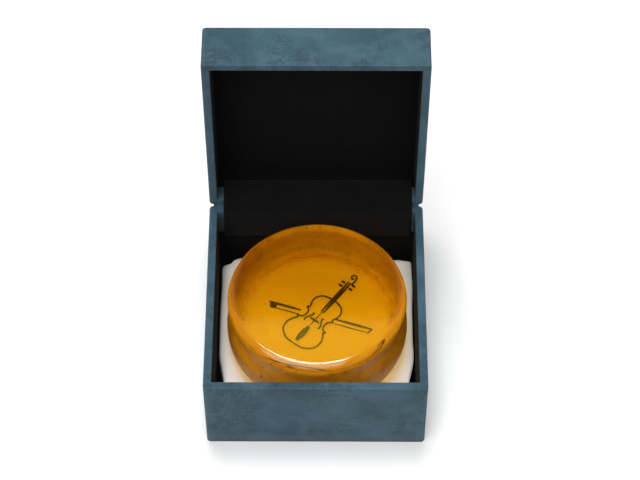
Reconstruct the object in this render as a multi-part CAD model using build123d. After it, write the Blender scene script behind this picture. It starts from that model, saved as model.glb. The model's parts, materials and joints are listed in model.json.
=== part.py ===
from build123d import *
import os

# A cake of rosin on a folded cloth, in a paper-covered board box with a hinged lid.
# Millimetres. X points right, Y points to the hinge side, Z points up.
# The origin is the middle of the underside of the box. The lid stands open at 90 degrees.

# driving sizes
box_width = 54.0
box_depth = 54.5
base_height = 25.0
lid_height = 12.0
rim_gap = 0.1
board = 1.5
lid_top_board_thickness = 1.0
paper = 0.25
corner_radius = 1.0
rim_turn_in = 1.0
base_back_turn_in = 8.6
lid_back_turn_in = 4.1

# inner hinge strip and outer hinge paper
strip_left = -23.4
strip_right = 24.2
strip_thickness = 0.3
strip_down_base = 10.0
strip_along_lid = 6.1
hinge_paper_leg = 6.0
hinge_paper_width = 52.0

# folded cloth
cloth_gap = 0.15
cloth_thickness = 4.25

# rosin cake
cake_x = 0.3
cake_height = 18.75
cake_foot_radius = 20.0
cake_flange_radius = 22.5
cake_waist_radius = 21.1
cake_rim_radius = 21.4
cake_shoulder = 2.2

# printed emblem under the cake
ink = 0.08
line_width = 0.36

wall = paper + board + paper
floor_top = paper + board + paper
cloth_bottom = floor_top + cloth_gap
cloth_top = cloth_bottom + cloth_thickness
cake_bottom = cloth_top + cloth_gap
hinge_y = box_depth / 2
hinge_z = base_height


def plate(x0, x1, y0, y1, z0, z1):
    centre = ((x0 + x1) / 2, (y0 + y1) / 2, (z0 + z1) / 2)
    return Pos(*centre) * Box(x1 - x0, y1 - y0, z1 - z0)


def rounded_block(inset, z0, z1):
    outline = RectangleRounded(box_width - 2 * inset, box_depth - 2 * inset, corner_radius - inset)
    return Pos(0, 0, z0) * extrude(outline, amount=z1 - z0)


def walls(rim_z, far_z):
    # four wall boards between the rim paper and the far sheet, front and back full width
    half_w = box_width / 2 - paper
    half_d = box_depth / 2 - paper
    z0 = min(rim_z, far_z)
    z1 = max(rim_z, far_z)
    block = rounded_block(paper, z0, z1)
    front = block & plate(-half_w, half_w, -half_d, -half_d + board, z0, z1)
    back = block & plate(-half_w, half_w, half_d - board, half_d, z0, z1)
    left = plate(-half_w, -half_w + board, -half_d + board, half_d - board, z0, z1)
    right = plate(half_w - board, half_w, -half_d + board, half_d - board, z0, z1)
    return front, back, left, right


def wrap(rim_z, edge_z, into, back_turn_in):
    # covering paper: outside skin, rim and the strip turned down inside each wall
    # into is +1 where the box is above its rim and -1 where it is below
    z0 = min(rim_z, edge_z)
    z1 = max(rim_z, edge_z)
    skin = rounded_block(0, z0, z1)
    if into < 0:
        skin -= rounded_block(paper, z0, z1 - paper)
    else:
        skin -= rounded_block(paper, z0 + paper, z1)
    half_w = box_width / 2 - wall
    half_d = box_depth / 2 - wall
    skin -= plate(-half_w, half_w, -half_d, half_d, z0, z1)
    low = rim_z + into * paper
    ring_far = rim_z + into * rim_turn_in
    ring_z = sorted((low, ring_far))
    ring = plate(-half_w - paper, half_w + paper, -half_d - paper, half_d + paper, *ring_z)
    ring -= plate(-half_w, half_w, -half_d, half_d, *ring_z)
    back_z = sorted((ring_far, rim_z + into * back_turn_in))
    back = plate(-half_w - paper, half_w + paper, half_d, half_d + paper, *back_z)
    return skin + ring + back


def wall_linings(rim_z, inner_z, into, back_turn_in):
    # flocked paper panels on the inner faces, butting the turned-in covering paper
    half_w = box_width / 2 - wall
    half_d = box_depth / 2 - wall
    side_z = sorted((rim_z + into * rim_turn_in, inner_z))
    back_z = sorted((rim_z + into * back_turn_in, inner_z))
    front = plate(-half_w - paper, half_w + paper, -half_d - paper, -half_d, *side_z)
    back = plate(-half_w - paper, half_w + paper, half_d, half_d + paper, *back_z)
    left = plate(-half_w - paper, -half_w, -half_d, half_d, *side_z)
    right = plate(half_w, half_w + paper, -half_d, half_d, *side_z)
    return front, back, left, right


def open_lid(shape):
    # the lid is laid out closed on the base, then swung up about the hinge line
    hinge = Axis((0, hinge_y, hinge_z), (1, 0, 0))
    return shape.rotate(hinge, -90)


parts = {}

# base of the box
parts["base_bottom_sheet"] = rounded_block(paper + 0.05, 0, paper)
board_z = (paper, paper + board)
inner_w = box_width / 2 - paper - board
inner_d = box_depth / 2 - paper - board
parts["base_floor_board"] = plate(-inner_w, inner_w, -inner_d, inner_d, *board_z)
base_walls = walls(base_height - paper, paper)
for side, solid in zip(("front", "back", "left", "right"), base_walls):
    parts["base_" + side + "_board"] = solid
parts["base_wrap"] = wrap(base_height, 0.1, -1, base_back_turn_in)
half_w = box_width / 2 - wall
half_d = box_depth / 2 - wall
parts["base_floor_lining"] = plate(-half_w, half_w, -half_d, half_d, paper + board, floor_top)
base_linings = wall_linings(base_height, paper + board, -1, base_back_turn_in)
for side, solid in zip(("front", "back", "left", "right"), base_linings):
    parts["base_" + side + "_lining"] = solid

# lid, laid out closed
lid_rim = base_height + rim_gap
lid_far = base_height + lid_height + rim_gap
top_z = (lid_far - paper - lid_top_board_thickness, lid_far - paper)
parts["lid_top_board"] = open_lid(plate(-inner_w, inner_w, -inner_d, inner_d, *top_z))
lid_walls = walls(lid_rim + paper, lid_far - paper)
for side, solid in zip(("front", "back", "left", "right"), lid_walls):
    parts["lid_" + side + "_board"] = open_lid(solid)
lid_skin = wrap(lid_rim, lid_far - paper, 1, lid_back_turn_in)
lid_skin += rounded_block(0, lid_far - paper, lid_far)
parts["lid_wrap"] = open_lid(lid_skin)
ceiling = top_z[0] - paper
parts["lid_top_lining"] = open_lid(plate(-half_w, half_w, -half_d, half_d, ceiling, top_z[0]))
lid_linings = wall_linings(lid_rim, top_z[0], 1, lid_back_turn_in)
for side, solid in zip(("front", "back", "left", "right"), lid_linings):
    parts["lid_" + side + "_lining"] = open_lid(solid)

# inner hinge strip: down the base wall, across the notch between the rims, along the lid wall
wall_face_y = hinge_y - wall
lid_face_z = hinge_z + wall
lid_rim_y = hinge_y + rim_gap
strip_profile = Polyline(
    (0, wall_face_y, hinge_z - strip_down_base),
    (0, wall_face_y, hinge_z),
    (0, lid_rim_y, lid_face_z),
    (0, lid_rim_y + strip_along_lid, lid_face_z),
    (0, lid_rim_y + strip_along_lid, lid_face_z + strip_thickness),
    (0, lid_rim_y - 0.12, lid_face_z + strip_thickness),
    (0, wall_face_y - strip_thickness, hinge_z + 0.12),
    (0, wall_face_y - strip_thickness, hinge_z - strip_down_base),
    close=True,
)
strip_face = make_face(strip_profile)
parts["hinge_strip"] = Pos(strip_left, 0, 0) * extrude(
    strip_face, amount=strip_right - strip_left, dir=(1, 0, 0)
)

# outer hinge paper in the corner under the open lid
paper_y = hinge_y + paper
paper_z = hinge_z - paper
paper_profile = Polyline(
    (0, hinge_y, hinge_z),
    (0, hinge_y, hinge_z - hinge_paper_leg),
    (0, paper_y, hinge_z - hinge_paper_leg),
    (0, paper_y, paper_z),
    (0, hinge_y + hinge_paper_leg, paper_z),
    (0, hinge_y + hinge_paper_leg, hinge_z),
    close=True,
)
parts["hinge_paper"] = Pos(-hinge_paper_width / 2, 0, 0) * extrude(
    make_face(paper_profile), amount=hinge_paper_width, dir=(1, 0, 0)
)

# folded polishing cloth, narrower towards the front
cloth_outline = Polyline(
    (-24.4, 24.4),
    (24.3, 24.1),
    (24.2, -5.0),
    (22.8, -14.0),
    (22.5, -24.3),
    (-22.6, -24.4),
    (-22.9, -14.0),
    (-24.5, -6.0),
    close=True,
)
cloth_face = make_face(cloth_outline)
cloth_face = fillet(cloth_face.vertices(), 1.6)
cloth = Pos(0, 0, cloth_bottom) * extrude(cloth_face, amount=cloth_thickness)
cloth_rims = cloth.faces().sort_by(Axis.Z)[0].edges() + cloth.faces().sort_by(Axis.Z)[-1].edges()
parts["polishing_cloth"] = fillet(cloth_rims, 0.9)

# rosin cake turned about its own upright axis
rim_z = cake_height - cake_shoulder
top_flat = cake_rim_radius - cake_shoulder
foot = Line((0, 0), (cake_foot_radius, 0))
heel = ThreePointArc((cake_foot_radius, 0), (21.85, 0.82), (cake_flange_radius, 2.7))
side = Spline(
    (cake_flange_radius, 2.7),
    (cake_flange_radius - 0.2, 6.0),
    (cake_waist_radius, cake_height - 6.5),
    (cake_rim_radius, rim_z),
)
arc_mid = cake_shoulder * 0.7071
shoulder = ThreePointArc(
    (cake_rim_radius, rim_z), (top_flat + arc_mid, rim_z + arc_mid), (top_flat, cake_height)
)
top = Line((top_flat, cake_height), (0, cake_height))
axis_line = Line((0, cake_height), (0, 0))
cake_profile = Plane.XZ * make_face(foot + heel + side + shoulder + top + axis_line)
cake_solid = revolve(cake_profile, Axis.Z, 360)
parts["rosin_cake"] = Pos(cake_x, 0, cake_bottom) * cake_solid

# emblem printed on the underside of the cake: a violin and bow in outline
body_half = [
    (-8.4, 0.0),
    (-7.6, 3.4),
    (-4.6, 4.9),
    (-1.9, 3.6),
    (0.6, 2.6),
    (3.1, 3.2),
    (5.4, 4.0),
    (7.8, 2.4),
    (8.4, 0.0),
]


def inked(outline):
    return extrude(outline, amount=ink, dir=(0, 0, 1))


def bar(u, v, length, width, turn=0):
    return Pos(u, v, ink / 2) * Rot(0, 0, turn) * Box(length, width, ink)


def body_loop(along, across):
    upper = [(u * along, v * across) for u, v in body_half]
    lower = [(u * along, -v * across) for u, v in reversed(body_half[1:-1])]
    return Wire([Spline(*(upper + lower), periodic=True)])


body_ring = Face(body_loop(1.0, 1.0), [body_loop(1 - line_width / 8.4, 1 - line_width / 3.6)])
neck_inner = (6.8 - 2 * line_width, 1.7 - 2 * line_width)
strokes = [
    inked(body_ring),
    bar(12.1, 0, 6.8, 1.7) - bar(12.1, 0, *neck_inner),
    inked(Pos(17.0, 0) * Circle(1.25)) - inked(Pos(17.0, 0) * Circle(1.25 - line_width)),
    bar(-1.2, 0, line_width, 2.6),
    bar(-5.0, 0, 5.2, line_width),
    bar(-1.0, 2.1, 3.6, line_width, 12),
    bar(-1.0, -2.1, 3.6, line_width, -12),
]
bow_strokes = [
    bar(9.0, 0.5, 11.0, line_width),
    bar(8.6, -0.5, 10.2, line_width),
    bar(-8.2, 0.5, 9.4, line_width),
    bar(-8.0, -0.5, 9.0, line_width),
    bar(-11.6, 0, 1.4, 0.5),
]
strokes += [Pos(0.8, 0) * Rot(0, 0, 70) * stroke for stroke in bow_strokes]
emblem_place = Pos(cake_x - 0.9, -2.2, cake_bottom - ink) * Rot(0, 0, 55)
parts["emblem_print"] = Compound([emblem_place * stroke.solids()[0] for stroke in strokes])

os.makedirs("parts", exist_ok=True)
for name, solid in parts.items():
    solid.label = name
    export_step(solid, "parts/" + name + ".step")
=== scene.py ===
"""A cake of rosin on a folded cloth in a hinged presentation box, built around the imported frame."""
import json
import math

import bpy
from mathutils import Matrix, Vector, noise


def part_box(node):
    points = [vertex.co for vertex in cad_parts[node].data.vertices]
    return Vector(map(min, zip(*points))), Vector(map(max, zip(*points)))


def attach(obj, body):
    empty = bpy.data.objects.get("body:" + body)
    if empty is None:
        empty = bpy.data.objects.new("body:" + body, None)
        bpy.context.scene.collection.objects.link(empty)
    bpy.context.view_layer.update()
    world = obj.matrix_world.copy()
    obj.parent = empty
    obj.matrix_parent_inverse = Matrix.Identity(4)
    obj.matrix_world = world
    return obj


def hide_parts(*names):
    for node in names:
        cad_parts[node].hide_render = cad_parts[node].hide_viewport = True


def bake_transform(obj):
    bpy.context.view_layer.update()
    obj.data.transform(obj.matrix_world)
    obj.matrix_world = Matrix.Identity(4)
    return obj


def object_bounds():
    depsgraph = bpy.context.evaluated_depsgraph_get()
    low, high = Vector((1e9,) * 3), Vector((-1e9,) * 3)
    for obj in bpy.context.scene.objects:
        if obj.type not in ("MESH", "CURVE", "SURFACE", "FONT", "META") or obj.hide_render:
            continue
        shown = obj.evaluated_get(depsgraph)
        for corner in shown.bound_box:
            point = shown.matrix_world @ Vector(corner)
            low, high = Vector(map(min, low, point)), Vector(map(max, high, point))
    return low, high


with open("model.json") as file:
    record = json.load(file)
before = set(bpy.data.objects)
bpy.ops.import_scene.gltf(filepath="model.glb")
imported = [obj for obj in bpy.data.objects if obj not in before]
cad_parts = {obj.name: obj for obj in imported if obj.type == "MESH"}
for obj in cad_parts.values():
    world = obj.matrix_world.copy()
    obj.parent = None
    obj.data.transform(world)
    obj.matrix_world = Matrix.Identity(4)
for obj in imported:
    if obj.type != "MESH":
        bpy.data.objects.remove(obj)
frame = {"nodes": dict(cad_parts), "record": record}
cad_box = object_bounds()

MM = 0.001

# Places and sizes read from the frame
base_low, base_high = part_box("base_wrap")
lid_low, lid_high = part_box("lid_wrap")
cloth_low, cloth_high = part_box("polishing_cloth")
cake_low, cake_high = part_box("rosin_cake")
strip_low, strip_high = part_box("hinge_strip")
board_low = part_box("base_front_board")[0]
lining_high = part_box("base_left_lining")[1]
half_width = base_high[0]
half_depth = -base_low[1]
rim_z = base_high[2]
hinge_y, hinge_z = frame["record"]["behaviour"]["joints"][0]["pos_m"][1:]
rim_gap = lid_low[1] - hinge_y
lid_depth = lid_high[1] - lid_low[1]
paper = board_low[1] - base_low[1]
wall = lining_high[0] - base_low[0]
turn_in = rim_z - lining_high[2]
base_back_turn_in = rim_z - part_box("base_back_lining")[1][2]
lid_back_turn_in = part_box("lid_back_lining")[0][1] - lid_low[1]
cake_x = (cake_low[0] + cake_high[0]) / 2
cake_y = (cake_low[1] + cake_high[1]) / 2


# ---------------------------------------------------------------- mesh helpers


def mesh_object(name, points, faces, material):
    """A smooth-shaded object from points and faces, in the scene."""
    mesh = bpy.data.meshes.new(name)
    mesh.from_pydata([tuple(point) for point in points], [], faces)
    mesh.validate()
    mesh.update()
    mesh.shade_smooth()
    mesh.materials.append(material)
    piece = bpy.data.objects.new(name, mesh)
    bpy.context.scene.collection.objects.link(piece)
    return piece


def join_rings(rings, closed_profile):
    """Points and quad faces of a surface through closed rings of equal length."""
    count = len(rings[0])
    points = [point for ring in rings for point in ring]
    faces = []
    last = len(rings) if closed_profile else len(rings) - 1
    for row in range(last):
        upper = ((row + 1) % len(rings)) * count
        lower = row * count
        for column in range(count):
            beside = (column + 1) % count
            faces.append((lower + column, lower + beside, upper + beside, upper + column))
    return points, faces


def grid_faces(rows, columns):
    """Quads of an open grid of rows by columns points."""
    faces = []
    for row in range(rows - 1):
        for column in range(columns - 1):
            corner = row * columns + column
            faces.append((corner, corner + 1, corner + columns + 1, corner + columns))
    return faces


def apply_modifiers(piece):
    """The piece keeps the shape that its modifiers give it, and no modifiers."""
    bpy.context.view_layer.update()
    evaluated = piece.evaluated_get(bpy.context.evaluated_depsgraph_get())
    mesh = bpy.data.meshes.new_from_object(evaluated)
    piece.modifiers.clear()
    piece.data = mesh
    return piece


def thicken(piece, thickness):
    """Gives a sheet its thickness, half to each side, with a rim."""
    solid = piece.modifiers.new("thickness", "SOLIDIFY")
    solid.thickness = thickness
    solid.offset = 0.0
    solid.use_even_offset = True
    return apply_modifiers(piece)


def smooth_step(value, low, high):
    """0 below low, 1 above high, and an even turn between."""
    share = min(1.0, max(0.0, (value - low) / (high - low)))
    return share * share * (3 - 2 * share)


# ---------------------------------------------------------------- materials


class Nodes:
    """A new material's node tree, with short calls for the nodes that the finishes share."""

    def __init__(self, name):
        self.material = bpy.data.materials.new(name)
        self.material.use_nodes = True
        self.tree = self.material.node_tree
        self.shader = self.tree.nodes["Principled BSDF"]
        self.output = self.tree.nodes["Material Output"]
        self.place = self.add("ShaderNodeTexCoord").outputs["Object"]

    def add(self, kind):
        return self.tree.nodes.new(kind)

    def join(self, source, socket):
        self.tree.links.new(source, socket)

    def fill(self, socket, value):
        """Gives a socket a number, a colour of three numbers, or another node's output."""
        if isinstance(value, (int, float)):
            socket.default_value = value
        elif isinstance(value, tuple):
            socket.default_value = (*value, 1.0)
        else:
            self.join(value, socket)

    def set(self, **values):
        for name, value in values.items():
            self.shader.inputs[name.replace("_", " ")].default_value = value

    def noise(self, scale, detail=2.0, roughness=0.5, distortion=0.0, place=None):
        node = self.add("ShaderNodeTexNoise")
        node.inputs["Scale"].default_value = scale
        node.inputs["Detail"].default_value = detail
        node.inputs["Roughness"].default_value = roughness
        node.inputs["Distortion"].default_value = distortion
        self.join(place or self.place, node.inputs["Vector"])
        return node.outputs["Fac"]

    def stretched(self, scale):
        node = self.add("ShaderNodeMapping")
        node.inputs["Scale"].default_value = scale
        self.join(self.place, node.inputs["Vector"])
        return node.outputs["Vector"]

    def bands(self, scale, direction, place, distortion):
        node = self.add("ShaderNodeTexWave")
        node.wave_type = "BANDS"
        node.bands_direction = direction
        node.wave_profile = "SIN"
        node.inputs["Scale"].default_value = scale
        node.inputs["Distortion"].default_value = distortion
        node.inputs["Detail"].default_value = 1.0
        self.join(place, node.inputs["Vector"])
        return node.outputs["Fac"]

    def spread(self, value, low, high, to_low=0.0, to_high=1.0):
        """Maps low to high onto to_low to to_high, held inside."""
        node = self.add("ShaderNodeMapRange")
        node.inputs["From Min"].default_value = low
        node.inputs["From Max"].default_value = high
        node.inputs["To Min"].default_value = to_low
        node.inputs["To Max"].default_value = to_high
        self.join(value, node.inputs["Value"])
        return node.outputs["Result"]

    def maths(self, operation, first, second):
        node = self.add("ShaderNodeMath")
        node.operation = operation
        for socket, value in zip(node.inputs, (first, second)):
            self.fill(socket, value)
        return node.outputs["Value"]

    def blend(self, share, first, second):
        """A colour between first and second, each three numbers or a socket."""
        node = self.add("ShaderNodeMix")
        node.data_type = "RGBA"
        inputs = [socket for socket in node.inputs if socket.type == "RGBA"]
        for socket, value in zip(inputs, (first, second)):
            self.fill(socket, value)
        self.fill(node.inputs[0], share)
        return [socket for socket in node.outputs if socket.type == "RGBA"][0]

    def mix(self, share, first, second):
        """A shader that is share of second and the rest of first."""
        node = self.add("ShaderNodeMixShader")
        self.fill(node.inputs[0], share)
        self.join(first, node.inputs[1])
        self.join(second, node.inputs[2])
        return node.outputs["Shader"]

    def mark(self, name):
        """The value that a mesh attribute gives."""
        node = self.add("ShaderNodeAttribute")
        node.attribute_name = name
        return node.outputs["Fac"]

    def colour(self, source):
        self.join(source, self.shader.inputs["Base Color"])

    def bump(self, height, distance, strength=1.0, shader=None):
        node = self.add("ShaderNodeBump")
        node.inputs["Distance"].default_value = distance
        node.inputs["Strength"].default_value = strength
        self.join(height, node.inputs["Height"])
        self.join(node.outputs["Normal"], (shader or self.shader).inputs["Normal"])


def covering_paper():
    """Slate blue suede-effect paper: soft clouds, patches of dark veins, worn edges lightened partly as a
    painted highlight on their rounding, and a fine nap.
    """
    made = Nodes("covering_paper")
    clouds = made.noise(85.0, 5.0, 0.62, 0.5)
    base = made.blend(made.spread(clouds, 0.38, 0.62), (0.0265, 0.060, 0.087), (0.0475, 0.099, 0.137))
    tint = made.noise(38.0, 2.0, 0.5)
    base = made.blend(made.spread(tint, 0.4, 0.65, 0.0, 0.35), base, (0.036, 0.095, 0.112))
    patches = made.spread(made.noise(62.0, 3.0, 0.55), 0.46, 0.6)
    wander = made.maths("SUBTRACT", made.noise(170.0, 6.0, 0.66, 1.3), 0.5)
    veins = made.spread(made.maths("ABSOLUTE", wander, 0.0), 0.0, 0.045, 1.0, 0.0)
    smudge = made.spread(made.noise(300.0, 4.0, 0.7, 1.0), 0.5, 0.64)
    lines = made.maths("MAXIMUM", veins, made.maths("MULTIPLY", smudge, 0.6))
    mark = made.maths("MULTIPLY", patches, lines)
    base = made.blend(made.maths("MULTIPLY", mark, 0.8), base, (0.019, 0.030, 0.043))
    # Painted highlight: the marked edges are lightened, partly as worn paper and partly for the light that
    # their rounding catches
    worn_and_lit = made.maths("MULTIPLY", made.mark("wear_and_highlight"), made.spread(wander, -0.2, 0.15, 0.4, 0.05))
    base = made.blend(worn_and_lit, base, (0.115, 0.18, 0.225))
    nap = made.noise(2600.0, 3.0, 0.6)
    base = made.blend(made.spread(nap, 0.3, 0.7, 0.0, 0.22), base, (0.07, 0.12, 0.15))
    made.colour(base)
    made.join(made.spread(clouds, 0.3, 0.7, 0.86, 0.74), made.shader.inputs["Roughness"])
    height = made.maths("ADD", nap, made.maths("MULTIPLY", mark, -0.8))
    made.bump(height, 0.00005, 0.7)
    made.set(Sheen_Weight=0.05, Sheen_Roughness=0.5, Specular_IOR_Level=0.2)
    return made.material


def grey_board():
    """Unbleached board with pressed fibres."""
    made = Nodes("grey_board")
    fibres = made.noise(900.0, 4.0, 0.7, 1.0, made.stretched((1.0, 1.0, 0.35)))
    base = made.blend(made.spread(fibres, 0.3, 0.7), (0.2, 0.172, 0.135), (0.3, 0.265, 0.215))
    made.colour(base)
    made.bump(fibres, 0.00006, 0.6)
    made.set(Roughness=0.93)
    return made.material


def flock(name, dark, light, nap_scale, sheen):
    """Black flocked paper or felt: short fibres that catch a little light."""
    made = Nodes(name)
    fibres = made.noise(nap_scale, 3.0, 0.75)
    brushed = made.noise(160.0, 3.0, 0.55, 0.6)
    shade = made.maths("ADD", made.maths("MULTIPLY", fibres, 0.6), made.maths("MULTIPLY", brushed, 0.4))
    base = made.blend(made.spread(shade, 0.35, 0.65), (dark,) * 3, (light, light, light * 1.04))
    made.colour(base)
    made.bump(fibres, 0.00012, 0.8)
    made.set(Roughness=0.97, Specular_IOR_Level=0.12, Sheen_Weight=sheen, Sheen_Roughness=0.6)
    return made.material


def woven_cloth():
    """Off-white soft cotton: a ribbed weave laid out in the cloth's own flat measures."""
    made = Nodes("woven_cloth")
    flat = made.add("ShaderNodeUVMap")
    flat.uv_map = "flat"
    place = flat.outputs["UV"]
    ribs = made.bands(820.0, "X", place, distortion=0.6)
    picks = made.bands(960.0, "Y", place, distortion=0.6)
    weave = made.maths("ADD", made.maths("MULTIPLY", ribs, 0.65), made.maths("MULTIPLY", picks, 0.35))
    lint = made.noise(2400.0, 3.0, 0.7)
    soft = made.noise(120.0, 3.0, 0.5)
    base = made.blend(made.spread(weave, 0.15, 0.85), (0.84, 0.82, 0.80), (0.885, 0.865, 0.848))
    base = made.blend(made.spread(soft, 0.35, 0.7, 0.0, 0.3), base, (0.74, 0.69, 0.665))
    made.colour(base)
    made.bump(made.maths("ADD", weave, made.maths("MULTIPLY", lint, 0.6)), 0.00007, 0.5)
    made.set(Roughness=0.95, Sheen_Weight=0.25, Sheen_Roughness=0.5, Specular_IOR_Level=0.2)
    made.set(Subsurface_Weight=0.08, Subsurface_Scale=0.001)
    return made.material


def printing_ink():
    """Dark brown printed line, a little uneven in its cover."""
    made = Nodes("printing_ink")
    cover = made.noise(900.0, 3.0, 0.6)
    made.colour(made.blend(made.spread(cover, 0.3, 0.7), (0.018, 0.004, 0.001), (0.034, 0.008, 0.002)))
    made.bump(cover, 0.00001, 0.4)
    made.set(Roughness=0.7)
    return made.material


ROSIN_TINT = (0.892, 0.856, 0.083)
ROSIN_DENSITY = 120.0


def amber_rosin():
    """Clear amber rosin, frosted and mottled as far as the mesh's frosting attribute says."""
    made = Nodes("amber_rosin")
    frosted = made.mark("frosting")
    made.set(IOR=1.52, Transmission_Weight=1.0)
    part = made.add("ShaderNodeSeparateXYZ")
    made.join(made.place, part.inputs["Vector"])
    foot = made.spread(part.outputs["Z"], cake_low[2] + 0.2 * MM, cake_low[2] + 0.6 * MM, 1.0, 0.0)
    made.colour(made.blend(foot, (1.0, 0.88, 0.5), (0.77, 0.375, 0.09)))
    dull = made.maths("MAXIMUM", made.maths("MULTIPLY", foot, 0.16), made.maths("MULTIPLY", frosted, 0.38))
    made.join(made.maths("MAXIMUM", dull, 0.03), made.shader.inputs["Roughness"])
    clouds = made.spread(made.noise(190.0, 4.0, 0.62, 0.9), 0.46, 0.68)
    specks = made.spread(made.noise(620.0, 5.0, 0.72, 0.8), 0.6, 0.67)
    grain = made.noise(1500.0, 3.0, 0.6)
    ripple = made.noise(260.0, 2.0, 0.5)
    rough_skin = made.maths("ADD", made.maths("MULTIPLY", clouds, 0.5), made.maths("MULTIPLY", grain, 0.4))
    height = made.maths("MULTIPLY", rough_skin, made.maths("MULTIPLY", frosted, 0.7))
    height = made.maths("ADD", height, made.maths("MULTIPLY", ripple, 0.1))
    made.bump(height, 0.00012, 0.6)

    skin = made.add("ShaderNodeBsdfPrincipled")
    # The frosted skin is seen from outside, and through the rosin from inside as a painted copy of its
    # colour, with painted shade darker low down
    outer = made.blend(clouds, (1.0, 0.39, 0.008), (0.78, 0.275, 0.005))
    inner = made.blend(clouds, (1.0, 0.47, 0.009), (0.78, 0.33, 0.006))
    # Painted shade: the inside of the skin gets darker towards the foot
    low_painted_shade = made.spread(part.outputs["Z"], cake_low[2] + 1 * MM, cake_low[2] + 8 * MM, 0.55, 0.0)
    inner = made.blend(low_painted_shade, inner, (0.34, 0.125, 0.002))
    # Where the skin is seen from inside, it takes the painted inside copy of its colour
    inside = made.add("ShaderNodeNewGeometry").outputs["Backfacing"]
    amber = made.blend(inside, outer, inner)
    amber = made.blend(made.maths("MULTIPLY", specks, 0.8), amber, (0.09, 0.035, 0.006))
    made.join(amber, skin.inputs["Base Color"])
    skin.inputs["Roughness"].default_value = 0.42
    made.bump(height, 0.00012, 0.6, skin)
    glow = made.add("ShaderNodeBsdfTranslucent")
    made.join(amber, glow.inputs["Color"])
    body = made.mix(0.12, skin.outputs["BSDF"], glow.outputs["BSDF"])
    share = made.maths("MAXIMUM", made.spread(clouds, 0.0, 1.0, 0.92, 1.0), specks)
    cover = made.mix(made.maths("MULTIPLY", share, frosted), made.shader.outputs["BSDF"], body)

    # Shadow rays pass straight through, so that light reaches the cloth and the print underneath
    path = made.add("ShaderNodeLightPath")
    clear = made.add("ShaderNodeBsdfTransparent")
    tint = made.blend(frosted, (0.68, 0.66, 0.6), (0.7, 0.6, 0.42))
    made.join(made.blend(foot, tint, (0.53, 0.465, 0.39)), clear.inputs["Color"])
    surface = made.mix(path.outputs["Is Shadow Ray"], cover, clear.outputs["BSDF"])
    made.join(surface, made.output.inputs["Surface"])
    depth = made.add("ShaderNodeVolumeAbsorption")
    depth.inputs["Color"].default_value = (*ROSIN_TINT, 1.0)
    depth.inputs["Density"].default_value = ROSIN_DENSITY
    made.join(depth.outputs["Volume"], made.output.inputs["Volume"])
    return made.material


def pale_floor():
    """A plain white sheet of studio paper, with a very faint glow."""
    made = Nodes("pale_floor")
    fibres = made.noise(60.0, 3.0, 0.5)
    white = made.blend(made.spread(fibres, 0.3, 0.7), (0.8, 0.8, 0.8), (0.82, 0.82, 0.82))
    made.colour(white)
    made.join(white, made.shader.inputs["Emission Color"])
    made.set(Emission_Strength=0.06, Roughness=0.9, Specular_IOR_Level=0.1)
    return made.material


paper_finish = covering_paper()
board_finish = grey_board()
lining_finish = flock("flocked_lining", 0.0006, 0.0019, 2200.0, 0.015)
strip_finish = flock("felt_strip", 0.0014, 0.0048, 1500.0, 0.03)
cloth_finish = woven_cloth()
ink_finish = printing_ink()
rosin_finish = amber_rosin()

NODE_FINISH = {
    "board": board_finish,
    "covering_paper": paper_finish,
    "lining": lining_finish,
    "hinge_cloth": strip_finish,
    "cloth": cloth_finish,
    "rosin": rosin_finish,
    "ink": ink_finish,
}


def finish_cad_nodes():
    """Every CAD node that stays in view gets the procedural finish of its record slot."""
    for row in frame["record"]["subparts"]:
        node = frame["nodes"][row["node"]]
        finish = NODE_FINISH[row["material_slot"]]
        if not node.material_slots:
            node.data.materials.append(finish)
        for slot in node.material_slots:
            slot.material = finish


# ---------------------------------------------------------------- covering paper

CORNER_RADIUS = 1.0 * MM
SHARP_CORNER = 0.12 * MM
RIM_ROUNDING = 0.42 * MM
ARC_STEPS = 6
RUN_STEPS = 18
RIM_FOLD_DIP = 0.10 * MM
UNDER_FLAP_DIP = 0.04 * MM
RIM_WAVE = 0.04 * MM
FACE_SWELL = 0.0016
MOST_SWELL = 1.0008
LID_EDGE_ROUNDING = 0.5 * MM


def plan_ring(inset):
    """(x, y, nearness to the mitre, whether on the back wall) round the box's plan, moved in by inset."""
    radius = max(CORNER_RADIUS - inset, SHARP_CORNER)
    reach_x = half_width - inset - radius
    reach_y = half_depth - inset - radius
    corners = []
    for turn, (sign_x, sign_y) in enumerate(((1, 1), (-1, 1), (-1, -1), (1, -1))):
        arc = []
        for step in range(ARC_STEPS + 1):
            angle = math.radians(90 * (turn + step / ARC_STEPS))
            x = sign_x * reach_x + radius * math.cos(angle)
            y = sign_y * reach_y + radius * math.sin(angle)
            arc.append((x, y, 1 - abs(2 * step / ARC_STEPS - 1)))
        corners.append(arc)
    ring = []
    for turn, arc in enumerate(corners):
        ring += arc
        start = Vector(arc[-1][:2])
        stop = Vector(corners[(turn + 1) % 4][0][:2])
        for step in range(1, RUN_STEPS):
            x, y = start.lerp(stop, step / RUN_STEPS)
            ring.append((x, y, 0.0))
    back = half_depth - inset - 0.05 * MM
    return [(x, y, mitre, y > back) for x, y, mitre in ring]


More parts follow.
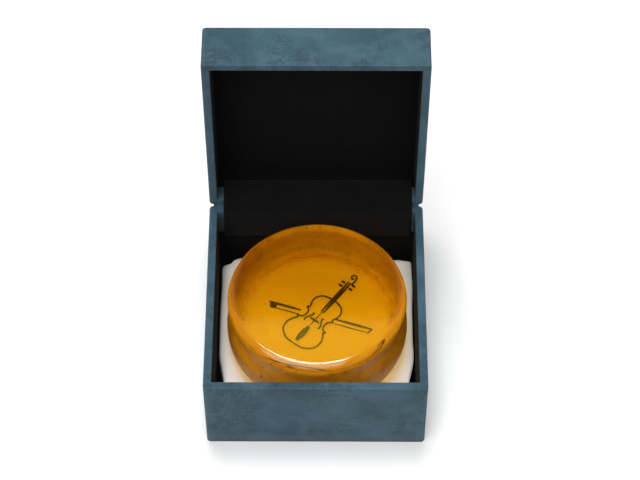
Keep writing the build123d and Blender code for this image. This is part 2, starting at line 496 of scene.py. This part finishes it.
def mark_worn_and_lit_edges(piece, rim, into, far):
    """Marks the outer edges of the rim, the far edge and the four upright corners, to be lightened: partly
    worn paper, partly a painted highlight where the rounding catches the light.
    """
    # The mark stands partly for worn paper and partly for a painted highlight on the rounded edges
    mark = piece.data.attributes.new("wear_and_highlight", "FLOAT", "POINT")
    for point, entry in zip(piece.data.vertices, mark.data):
        x, y, z = closed_place(piece, point.co)
        outer = max(abs(x) - half_width, abs(y) - half_depth)
        past_x = abs(x) - half_width + CORNER_RADIUS
        past_y = abs(y) - half_depth + CORNER_RADIUS
        near_rim = smooth_step(0.55 * MM - into * (z - rim), 0, 0.5 * MM)
        near_far = smooth_step(into * (z - rim) - far + 0.6 * MM, 0, 0.5 * MM)
        near_side = smooth_step(outer, -0.5 * MM, -0.1 * MM)
        upright = 0.0
        if past_x > 0 and past_y > 0:
            upright = smooth_step(math.hypot(past_x, past_y), 0.9 * MM, 1.02 * MM)
        entry.value = near_side * max(near_rim, near_far, 0.6 * upright)


def closed_place(piece, point):
    """Where a point of the covering is when the lid is shut."""
    if piece.name.startswith("lid"):
        return open_lid_matrix().inverted() @ point
    return point


def wrap_profile(height, far_rounding):
    """(inset, depth, lift share) along the paper's section: the outer face, and over the rim."""
    profile = []
    rows = 6
    for row in range(rows):
        depth = height - far_rounding - (height - far_rounding - RIM_ROUNDING) * row / rows
        profile.append((0.0, depth, 0.0))
    for step in range(5):
        angle = math.radians(90 * step / 4)
        inset = RIM_ROUNDING * (1 - math.cos(angle))
        profile.append((inset, RIM_ROUNDING * (1 - math.sin(angle)), step / 4))
    profile.append((wall * 0.5, 0.0, 1.0))
    inner = 0.3 * MM
    for step in range(4):
        angle = math.radians(90 * step / 3)
        inset = wall - inner * (1 - math.sin(angle))
        profile.append((inset, inner * (1 - math.cos(angle)), 1.0 - step / 3))
    return profile


def wrap_rings(rim, into, height, back_depth, far_rounding, seed):
    """Rings of points from the far outer edge over the rim, down the turned-in strip and back behind it."""
    profile = wrap_profile(height, far_rounding)
    under_rim = paper * 1.2
    # no depth stands for the end of the turned-in strip, which is deeper at the back
    profile.append((wall, None, 0.0))
    profile.append((wall - paper, None, 0.0))
    profile.append((wall - paper, under_rim, 0.0))
    profile.append((paper, under_rim, 0.0))
    rings = []
    for inset, depth, lift in profile:
        ring = []
        for x, y, mitre, at_back in plan_ring(inset):
            here = depth
            if here is None:
                here = back_depth if at_back else turn_in
            fold = -RIM_FOLD_DIP * smooth_step(mitre, 0.6, 1.0)
            if abs(x) / half_width <= abs(y) / half_depth:
                fold -= UNDER_FLAP_DIP
            wave = RIM_WAVE * (noise.noise(Vector((x * 90 + seed, y * 90, 0.3))) - 1)
            z = rim + into * (here - lift * (fold + wave))
            swell = 1.0
            if inset <= CORNER_RADIUS:
                swell += FACE_SWELL * noise.noise(Vector((x * 45, y * 45 + seed, here * 60)))
            swell = min(swell, MOST_SWELL)
            ring.append(Vector((x * swell, y * swell, z)))
        rings.append(ring)
    return rings


def base_wrap_piece():
    """Covering paper of the base: up the four sides, over the rim and turned in."""
    height = rim_z - base_low[2]
    rings = wrap_rings(rim_z, -1, height, base_back_turn_in, 0.0, 1.7)
    rings.append([Vector((x, y, base_low[2])) for x, y, _, _ in plan_ring(paper)])
    points, faces = join_rings(rings, closed_profile=True)
    piece = mesh_object("base_covering", points, faces, paper_finish)
    mark_worn_and_lit_edges(piece, rim_z, -1, height)
    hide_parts("base_wrap")
    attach(piece, "base")


def open_lid_matrix():
    """Turns the lid from closed on the base to standing open about the hinge line."""
    hinge = Vector((0, hinge_y, hinge_z))
    turn = Matrix.Rotation(math.radians(-90), 4, "X")
    return Matrix.Translation(hinge) @ turn @ Matrix.Translation(-hinge)


def lid_wrap_piece():
    """Covering paper of the lid: the top, four sides, the rim and the turned-in strips."""
    rim = rim_z + rim_gap
    top = rim + lid_depth
    rings = []
    for inset in (9.0 * MM, 3.0 * MM, 1.2 * MM):
        rings.append([Vector((x, y, top)) for x, y, _, _ in plan_ring(inset)])
    for step in range(4):
        angle = math.radians(90 * step / 4)
        inset = LID_EDGE_ROUNDING * (1 - math.sin(angle))
        drop = LID_EDGE_ROUNDING * (1 - math.cos(angle))
        rings.append([Vector((x, y, top - drop)) for x, y, _, _ in plan_ring(inset)])
    rings += wrap_rings(rim, 1, lid_depth, lid_back_turn_in, LID_EDGE_ROUNDING, 5.2)
    rings.append([Vector((x, y, top - paper)) for x, y, _, _ in plan_ring(paper)])
    points, faces = join_rings(rings, closed_profile=False)
    count = len(rings[0])
    faces.append(tuple(reversed(range(count))))
    faces.append(tuple(range(len(points) - count, len(points))))
    turned = open_lid_matrix()
    piece = mesh_object("lid_covering", [turned @ point for point in points], faces, paper_finish)
    mark_worn_and_lit_edges(piece, rim, 1, lid_depth)
    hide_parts("lid_wrap")
    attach(piece, "lid")


# ---------------------------------------------------------------- hinge

FELT_THICKNESS = 0.3 * MM
PATH_SPACING = 0.5 * MM
ARC_SHARES = [step / 8 for step in range(9)]


def strip_across(name, path, ends, columns, thickness, finish, wander, seed):
    """A strip that follows path, points of (y, z), between its ends in x, which wander a little."""
    points = []
    rows = len(path)
    x_low, x_high = ends
    for row, (y, z) in enumerate(path):
        for column in range(columns):
            share = column / (columns - 1)
            end = wander * noise.noise(Vector((row * 0.35, seed, share * 40)))
            x = x_low + (x_high - x_low) * share + end
            points.append(Vector((x, y, z)))
    piece = mesh_object(name, points, grid_faces(rows, columns), finish)
    return thicken(piece, thickness)


def rounded_path(corners, radius, spacing):
    """Even points along straight runs joined by arcs of the radius, through corners of (y, z)."""
    spots = [Vector(corner) for corner in corners]
    path = [spots[0]]
    for before, corner, after in zip(spots, spots[1:], spots[2:]):
        back = (before - corner).normalized()
        on = (after - corner).normalized()
        start = corner + back * radius
        stop = corner + on * radius
        for share in ARC_SHARES:
            path.append(start.lerp(corner, share).lerp(corner.lerp(stop, share), share))
    path.append(spots[-1])
    even = [path[0]]
    for first, second in zip(path, path[1:]):
        steps = max(1, round((second - first).length / spacing))
        even += [first.lerp(second, step / steps) for step in range(1, steps + 1)]
    return [tuple(spot) for spot in even]


def hinge_strip_piece():
    """The black felt strip inside: down the base wall, taut across the notch, along the lid wall."""
    middle = FELT_THICKNESS / 2
    face_y = hinge_y - wall
    face_z = hinge_z + wall
    corners = (
        (face_y - middle, strip_low[2]),
        (face_y - middle, hinge_z + middle * 0.4),
        (hinge_y + rim_gap - middle * 0.4, face_z + middle),
        (strip_high[1], face_z + middle),
    )
    path = rounded_path(corners, 0.55 * MM, PATH_SPACING)
    ends = strip_low[0], strip_high[0]
    piece = strip_across("hinge_felt", path, ends, 90, FELT_THICKNESS, strip_finish, 0.12 * MM, 2.0)
    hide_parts("hinge_strip")
    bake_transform(piece)


def hinge_paper_piece():
    """The covering paper that joins lid and base outside, in the corner under the open lid."""
    low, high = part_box("hinge_paper")
    middle = paper / 2
    corners = (
        (hinge_y + middle, low[2]),
        (hinge_y + middle, hinge_z - middle),
        (high[1], hinge_z - middle),
    )
    path = rounded_path(corners, 0.5 * MM, PATH_SPACING)
    ends = low[0], high[0]
    piece = strip_across("hinge_joint_paper", path, ends, 80, paper * 0.92, paper_finish, 0.05 * MM, 7.0)
    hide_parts("hinge_paper")
    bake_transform(piece)


# ---------------------------------------------------------------- cloth

CLOTH_SIDE = 97.0 * MM
STACK_HALF = CLOTH_SIDE / 4
CLOTH_COUNT = 141
LAYER_PITCH = 1.12 * MM
LAYER_THICKNESS = 0.82 * MM
FOLD_TO_SIDE = 1.1 * MM
FOLD_TO_FRONT = 2.2 * MM
NARROWING = 1.5 * MM
EDGE_STEP = 0.55 * MM
CORNER_SLIP = 0.8 * MM
NOTCH_DEPTH = 1.9 * MM
PUFF_SHARE = 0.24
PUFF_WAVE = 0.7 * MM
CORNER_RISE = 1.1 * MM


def folded_point(u, v):
    """Where a point of the flat cloth lies once it is folded in half twice, before it settles."""
    half_pitch = LAYER_PITCH / 2
    # first fold, along the left side: u below zero stays underneath
    reach = half_pitch * math.pi / 2
    if u < -reach:
        x, level = -u - reach, 0.0
    elif u > reach:
        x, level = u - reach, LAYER_PITCH
    else:
        angle = u / half_pitch
        x, level = -half_pitch * math.cos(angle), half_pitch * (1 + math.sin(angle))
    # second fold, along the front: v below zero stays underneath
    radius = 1.5 * LAYER_PITCH
    reach = radius * math.pi / 2
    if v < -reach:
        y, height = -v - reach, level
    elif v > reach:
        y, height = v - reach, 2 * radius - level
    else:
        angle = v / radius
        y = -(radius - level) * math.cos(angle)
        height = radius + (radius - level) * math.sin(angle)
    return x, y, height


def round_corner(x, y, radius):
    """Pulls the plan's four corners in to a radius, for a point x, y from the middle of the stack."""
    straight = STACK_HALF - radius
    past_x = abs(x) - straight
    past_y = abs(y) - straight
    if past_x <= 0 or past_y <= 0:
        return x, y
    shrink = max(past_x, past_y) / math.hypot(past_x, past_y)
    near_x = straight + past_x * shrink
    near_y = straight + past_y * shrink
    return math.copysign(near_x, x), math.copysign(near_y, y)


def settle_plan(x, y, layer):
    """Lays a layer of the folded stack on the box floor: narrower in front, its back edges stepped."""
    radius = (1.2 + 0.9 * layer) * MM
    x, y = round_corner(x - STACK_HALF, y - STACK_HALF, radius)
    x += STACK_HALF + cloth_low[0] + FOLD_TO_SIDE
    y += STACK_HALF + cloth_low[1] + FOLD_TO_FRONT
    front = smooth_step(-y, 4 * MM, 17 * MM)
    x -= front * NARROWING * (x / (24 * MM))
    shift = EDGE_STEP * (layer - 1.5)
    x += shift * 0.4 * smooth_step(x, 0, 24 * MM)
    y -= shift * smooth_step(y, 0, 24 * MM)
    corner = smooth_step(-x, 15 * MM, 24 * MM) * smooth_step(y, 15 * MM, 24 * MM)
    x += corner * CORNER_SLIP * max(0.0, 2 - layer)
    return x, y


def settle(x, y, height, layer):
    """Where a point of the folded stack comes to rest: pressed under the cake, puffed at the corners."""
    x, y = settle_plan(x, y, layer)
    notch = smooth_step(-x, 20.6 * MM, 22.4 * MM) * smooth_step(y, 17 * MM, 23 * MM)
    y -= notch * NOTCH_DEPTH
    puff = smooth_step(math.hypot(x - cake_x, y - cake_y), 20.5 * MM, 30 * MM)
    broad = noise.noise(Vector((x * 75, y * 75, 1.0)))
    small = noise.noise(Vector((x * 160, y * 160, 4.0)))
    share = height / (cloth_high[2] - cloth_low[2])
    z = cloth_low[2] + LAYER_THICKNESS / 2 + height * (1 + PUFF_SHARE * puff)
    z += share * puff * PUFF_WAVE * (broad + 0.5 * small)
    raised = smooth_step(-x, 12 * MM, 24 * MM) * smooth_step(y, 6 * MM, 24 * MM)
    z += share * raised * puff * CORNER_RISE
    rim = max(smooth_step(abs(x), 22.2 * MM, 24.6 * MM), smooth_step(y, 22.4 * MM, 24.6 * MM))
    z -= share * (0.9 * rim + 0.5 * notch * rim) * MM
    edge = smooth_step(abs(x), 18 * MM, 24 * MM)
    x += edge * 0.3 * MM * noise.noise(Vector((layer * 3.1, y * 110, 2.0)))
    back = smooth_step(y, 17 * MM, 24 * MM)
    y += back * 0.35 * MM * noise.noise(Vector((x * 95, layer * 2.3, 6.0)))
    return Vector((x, y, z))


def polishing_cloth_piece():
    """The cloth, cut square, folded in half twice and laid on the box floor under the cake."""
    spots = [CLOTH_SIDE * (step / (CLOTH_COUNT - 1) - 0.5) for step in range(CLOTH_COUNT)]
    flat = [(u, v) for v in spots for u in spots]
    points = []
    for u, v in flat:
        x, y, height = folded_point(u, v)
        points.append(settle(x, y, height, height / LAYER_PITCH))
    piece = mesh_object("folded_cloth", points, grid_faces(CLOTH_COUNT, CLOTH_COUNT), cloth_finish)
    layout = piece.data.uv_layers.new(name="flat")
    for loop in piece.data.loops:
        layout.data[loop.index].uv = flat[loop.vertex_index]
    thicken(piece, LAYER_THICKNESS)
    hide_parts("polishing_cloth")
    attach(piece, "cloth")


# ---------------------------------------------------------------- rosin cake


HEEL_REACH = 2.5 * MM
FLANGE_HEIGHT = 5.2 * MM
RIM_INSET = 0.4 * MM
WAIST_INSET = 0.95 * MM
SHOULDER_RADIUS = 2.2 * MM
CAKE_AROUND = 160


def cake_profile():
    """(radius, height, frosting) up the cake from the middle of its foot to the middle of its top."""
    height = cake_high[2] - cake_low[2]
    flange = (cake_high[0] - cake_low[0]) / 2
    foot = flange - HEEL_REACH
    rim = flange - RIM_INSET
    waist = flange - WAIST_INSET
    shares = (0.0, 0.25, 0.5, 0.75, 0.82, 0.86, 0.9, 0.94, 0.97, 1.0)
    profile = [(foot * share, 0.0, 0.9 * smooth_step(share, 0.84, 1.0)) for share in shares]
    for step in range(1, 9):
        angle = math.radians(90 * step / 8)
        out = HEEL_REACH * math.sin(angle)
        profile.append((foot + out, FLANGE_HEIGHT * (1 - math.cos(angle)), 1))
    side_high = height - SHOULDER_RADIUS
    steps = 14
    for step in range(1, steps):
        share = step / steps
        flare = (1 - smooth_step(share, 0.12, 0.72)) * (flange - waist)
        lip = smooth_step(share, 0.72, 1.0) * (rim - waist)
        level = FLANGE_HEIGHT + (side_high - FLANGE_HEIGHT) * share
        profile.append((waist + flare + lip, level, 1))
    for step in range(10):
        angle = math.radians(90 * step / 9)
        radius = rim - SHOULDER_RADIUS * (1 - math.cos(angle))
        frosted = 1 - smooth_step(angle, math.radians(5), math.radians(45))
        profile.append((radius, side_high + SHOULDER_RADIUS * math.sin(angle), frosted))
    inner = rim - SHOULDER_RADIUS
    profile += [(inner * share, height, 0) for share in (0.97, 0.9, 0.75, 0.5, 0.25, 0.0)]
    return profile


def rosin_cake_piece():
    """The cake: turned about its axis, with the small unevenness of a poured and moulded piece."""
    middle = Vector((cake_x, cake_y, cake_low[2]))
    points = []
    frosting = []
    rings = []
    for radius, height, frosted in cake_profile():
        ring = []
        for step in range(CAKE_AROUND if radius > 0 else 1):
            angle = 2 * math.pi * step / CAKE_AROUND
            direction = Vector((math.cos(angle), math.sin(angle), 0))
            lump = noise.noise(Vector((direction.x * 2.2, direction.y * 2.2, height * 160)))
            dent = noise.noise(Vector((direction.x * 9, direction.y * 9, height * 420)))
            on_side = smooth_step(radius, 17 * MM, 20 * MM)
            off = on_side * (0.07 * lump + 0.045 * dent) * MM
            points.append(middle + direction * (radius + off) + Vector((0, 0, height)))
            frosting.append(frosted)
            ring.append(len(points) - 1)
        rings.append(ring)
    faces = []
    for lower, upper in zip(rings, rings[1:]):
        for step in range(CAKE_AROUND):
            beside = (step + 1) % CAKE_AROUND
            # a ring of one point is the middle of the foot or top, where the faces are triangles
            corners = [lower[step % len(lower)], lower[beside % len(lower)]]
            corners += [upper[beside % len(upper)], upper[step % len(upper)]]
            faces.append(tuple(dict.fromkeys(corners)))
    piece = mesh_object("amber_cake", points, faces, rosin_finish)
    mark = piece.data.attributes.new("frosting", "FLOAT", "POINT")
    mark.data.foreach_set("value", frosting)
    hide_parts("rosin_cake")
    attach(piece, "cake")


# ---------------------------------------------------------------- print under the cake

EMBLEM_SCALE = 1.14 * MM
FINE_LINE = 0.38
BOLD_LINE = 0.58
BODY_HALF = (
    ((0.0, 0.0), (2.3, 0.25), (4.2, 1.7), (4.6, 3.7), (4.0, 5.2), (3.5, 5.9), (4.0, 6.3)),
    ((4.0, 6.3), (2.9, 6.7), (2.5, 7.8), (2.8, 8.9), (3.6, 9.4)),
    ((3.6, 9.4), (3.1, 9.9), (3.5, 11.0), (3.5, 12.3), (2.6, 13.6), (1.2, 14.1), (0.5, 14.2)),
)
SOUND_HOLE = ((1.5, 8.9), (1.15, 8.7), (1.35, 8.2), (1.85, 7.2), (2.05, 6.5), (1.75, 6.2))
SCROLL = ((0.62, 20.0), (0.7, 21.2), (0.35, 22.2), (-0.35, 22.3), (-0.65, 21.7), (-0.2, 21.2), (0.15, 21.6))
STICK_LOW = (-11.0, 5.2)
STICK_HIGH = (11.4, 13.4)
DRAWING_MIDDLE = (0.0, 11.2)
DRAWING_TURN = -38
INK_THICKNESS = 0.04 * MM


def smooth_stroke(corners):
    """Close points on a smooth curve through the corners."""
    ends = [corners[0]] + list(corners) + [corners[-1]]
    spots = [Vector(corner) for corner in ends]
    path = []
    for first, second, third, fourth in zip(spots, spots[1:], spots[2:], spots[3:]):
        for step in range(8):
            t = step / 8
            bend = (third - first) * t + (2 * first - 5 * second + 4 * third - fourth) * t * t
            path.append(second + 0.5 * (bend + (3 * second - first - 3 * third + fourth) * t ** 3))
    path.append(spots[-1])
    return path


def ribbon(path, width):
    """The two edges of a drawn line, a little thinner at its ends."""
    left, right = [], []
    for index, spot in enumerate(path):
        before = path[max(index - 1, 0)]
        after = path[min(index + 1, len(path) - 1)]
        along = (after - before).normalized()
        side = Vector((-along.y, along.x))
        end = min(index, len(path) - 1 - index)
        half = width / 2 * (0.6 + 0.4 * smooth_step(end, 0, 3))
        left.append(spot + side * half)
        right.append(spot - side * half)
    return left, right


def mirrored(strokes):
    """The strokes and their mirror images across the violin's middle line."""
    return list(strokes) + [tuple((-x, y) for x, y in stroke) for stroke in strokes]


def drawn_lines():
    """Every line of the drawing, a violin with its bow across behind it, as (path, width), in mm."""
    lines = [(smooth_stroke(stroke), FINE_LINE) for stroke in mirrored(BODY_HALF)]
    lines += [(smooth_stroke(stroke), FINE_LINE * 0.9) for stroke in mirrored([SOUND_HOLE])]
    lines.append((smooth_stroke(SCROLL), FINE_LINE))
    straight = [
        ((-0.3, 10.2), (-0.3, 20.2), BOLD_LINE),
        ((0.3, 10.2), (0.3, 20.2), BOLD_LINE),
        ((-1.25, 7.5), (1.25, 7.5), BOLD_LINE),
        ((0.0, 1.0), (0.0, 5.4), 1.3),
        ((0.0, 5.2), (0.0, 10.4), 0.24),
    ]
    for level in (18.3, 19.4):
        straight.append(((-1.7, level), (-0.7, level), BOLD_LINE))
        straight.append(((0.7, level + 0.5), (1.7, level + 0.5), BOLD_LINE))
    low, high = Vector(STICK_LOW), Vector(STICK_HIGH)
    along = (high - low).normalized()
    side = Vector((along.y, -along.x))
    for start, stop in ((0.0, 7.4), (15.4, 23.8)):
        straight.append((low + along * start, low + along * stop, BOLD_LINE))
        hair = side * 1.15
        reach = max(start, 1.0), min(stop, 22.9)
        straight.append((low + along * reach[0] + hair, low + along * reach[1] + hair, 0.26))
    straight.append((low + along * 1.2 - side * 0.2, low + along * 1.2 + side * 1.35, 1.5))
    straight.append((high, high + side * 1.4 - along * 0.8, FINE_LINE))
    for first, second, width in straight:
        start, stop = Vector(first), Vector(second)
        lines.append(([start.lerp(stop, step / 8) for step in range(9)], width))
    return lines


def emblem_piece():
    """A violin and bow in dark ink on the underside of the cake, seen through the rosin."""
    low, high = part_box("emblem_print")
    middle = Vector(((low[0] + high[0]) / 2 + 1.6 * MM, (low[1] + high[1]) / 2 + 2.6 * MM))
    turn = Matrix.Rotation(math.radians(DRAWING_TURN), 2)
    level = high[2] - INK_THICKNESS
    points = []
    faces = []
    for path, width in drawn_lines():
        left, right = ribbon(path, width)
        first = len(points)
        for a, b in zip(left, right):
            for spot in (a, b):
                place = middle + turn @ (spot - Vector(DRAWING_MIDDLE)) * EMBLEM_SCALE
                points.append(Vector((place.x, place.y, level)))
        for step in range(len(left) - 1):
            corner = first + 2 * step
            faces.append((corner + 1, corner + 3, corner + 2, corner))
    piece = mesh_object("violin_print", points, faces, ink_finish)
    thicken(piece, INK_THICKNESS)
    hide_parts("emblem_print")
    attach(piece, "cake")


# ---------------------------------------------------------------- stage, light, camera


def stage_floor():
    """A wide pale floor under the box."""
    half = 6.0
    corners = [(-half, -half, 0), (half, -half, 0), (half, half, 0), (-half, half, 0)]
    floor = mesh_object("studio_floor", corners, [(0, 1, 2, 3)], pale_floor())
    floor.location.z = cad_box[0][2] - 0.02 * MM


LIT_SPOT = (0, 0, 20 * MM)


def aimed_lamp(name, kind, place, energy):
    """A lamp at place that faces the box. Its own data comes back, to be given a size."""
    lamp = bpy.data.lights.new(name, kind)
    lamp.energy = energy
    holder = bpy.data.objects.new(name, lamp)
    bpy.context.scene.collection.objects.link(holder)
    holder.location = place
    holder.rotation_mode = "QUATERNION"
    holder.rotation_quaternion = (Vector(LIT_SPOT) - Vector(place)).to_track_quat("-Z", "Y")
    return lamp


def light_scene():
    """Dim surroundings, a soft box overhead and a little behind, and broad light high in front."""
    world = bpy.data.worlds.new("studio")
    bpy.context.scene.world = world
    world.use_nodes = True
    backdrop = world.node_tree.nodes["Background"]
    backdrop.inputs["Color"].default_value = (1.0, 1.0, 1.0, 1.0)
    backdrop.inputs["Strength"].default_value = 0.22
    soft_box = aimed_lamp("top_soft_box", "AREA", (-0.05, 0.22, 0.95), 5.6)
    soft_box.shape = "SQUARE"
    soft_box.size = 0.34
    broad = aimed_lamp("front_light", "SUN", (-0.22, -0.55, 1.12), 2.35)
    broad.angle = math.radians(60)


CAMERA_TARGET = (0.98 * MM, 0.0, 48.05 * MM)
CAMERA_DISTANCE = 505.5 * MM
CAMERA_ELEVATION = 54.48
CAMERA_ROLL = 0.12
CAMERA_LENS = 119.8


def place_camera():
    """A long lens well above the front of the box."""
    camera = bpy.data.cameras.new("camera")
    camera.sensor_width = 36.0
    camera.lens = CAMERA_LENS
    camera.clip_start = 0.01
    camera.clip_end = 20.0
    holder = bpy.data.objects.new("camera", camera)
    bpy.context.scene.collection.objects.link(holder)
    rise = math.radians(CAMERA_ELEVATION)
    back = Vector((0, -math.cos(rise), math.sin(rise)))
    turn = (-back).to_track_quat("-Z", "Y").to_matrix().to_4x4()
    roll = Matrix.Rotation(math.radians(CAMERA_ROLL), 4, "Z")
    place = Vector(CAMERA_TARGET) + back * CAMERA_DISTANCE
    holder.matrix_world = Matrix.Translation(place) @ turn @ roll
    bpy.context.scene.camera = holder


finish_cad_nodes()
base_wrap_piece()
lid_wrap_piece()
hinge_strip_piece()
hinge_paper_piece()
polishing_cloth_piece()
rosin_cake_piece()
emblem_piece()
stage_floor()
light_scene()
place_camera()
bpy.context.scene.view_settings.view_transform = "Standard"
